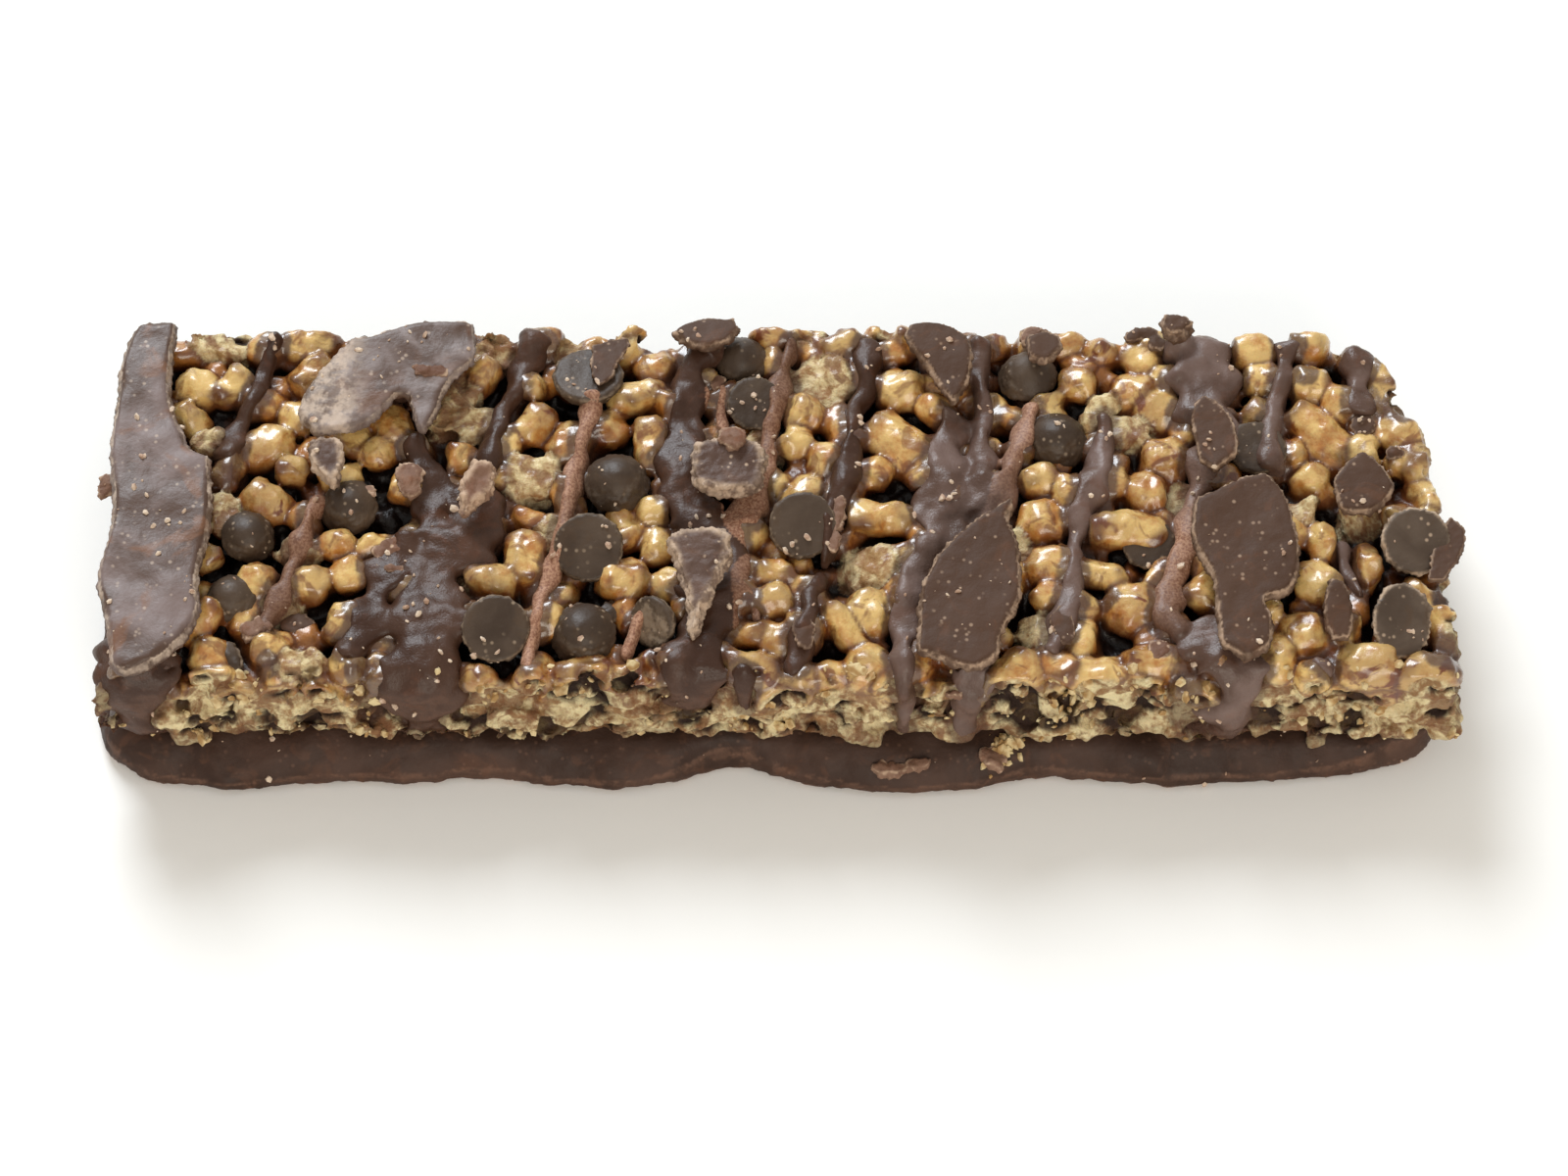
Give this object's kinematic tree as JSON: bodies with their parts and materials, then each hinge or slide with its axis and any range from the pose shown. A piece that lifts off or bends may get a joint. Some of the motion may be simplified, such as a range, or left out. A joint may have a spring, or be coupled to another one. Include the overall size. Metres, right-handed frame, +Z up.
{
  "type": "protein bar",
  "caption": "Crisp protein bar: glazed crisps on a chocolate base, with chocolate chips, drizzle and flat chocolate patches.",
  "frame": {"origin": "centre of the bounding box at the underside that the bar lies on", "axes": "+X along the bar, +Y towards the back long side, +Z up; the cut front face that the picture shows is at -Y"},
  "size_m": [0.1127, 0.0425, 0.0162],
  "materials": {
    "glazed_crisp": "glossy caramel glaze",
    "milk_chocolate": "satin chocolate",
    "dark_chip": "dull dark chocolate"
  },
  "bodies": {
    "root": {"crisp_slab": "glazed_crisp", "chocolate_base": "milk_chocolate", "chip_01": "dark_chip", "chip_02": "dark_chip", "chip_03": "dark_chip", "chip_04": "dark_chip", "chip_05": "dark_chip", "chip_06": "dark_chip", "chip_07": "dark_chip", "chip_08": "dark_chip", "chip_09": "dark_chip", "chip_10": "dark_chip", "chip_11": "dark_chip", "chip_12": "dark_chip", "chip_13": "dark_chip", "chip_14": "dark_chip", "chip_15": "dark_chip", "chip_16": "dark_chip", "chip_17": "dark_chip", "chip_18": "dark_chip", "end_coat": "milk_chocolate", "patch_back_left": "milk_chocolate", "patch_back_middle": "milk_chocolate", "patch_teardrop": "milk_chocolate", "patch_disc": "milk_chocolate", "patch_leaf": "milk_chocolate", "patch_right": "milk_chocolate", "patch_far_right": "milk_chocolate", "patch_small": "milk_chocolate", "patch_centre": "milk_chocolate", "lump_left": "milk_chocolate", "lump_front": "milk_chocolate", "lump_middle": "milk_chocolate", "lump_back_right": "milk_chocolate", "lump_ridge": "milk_chocolate"}
  },
  "joints": []
}
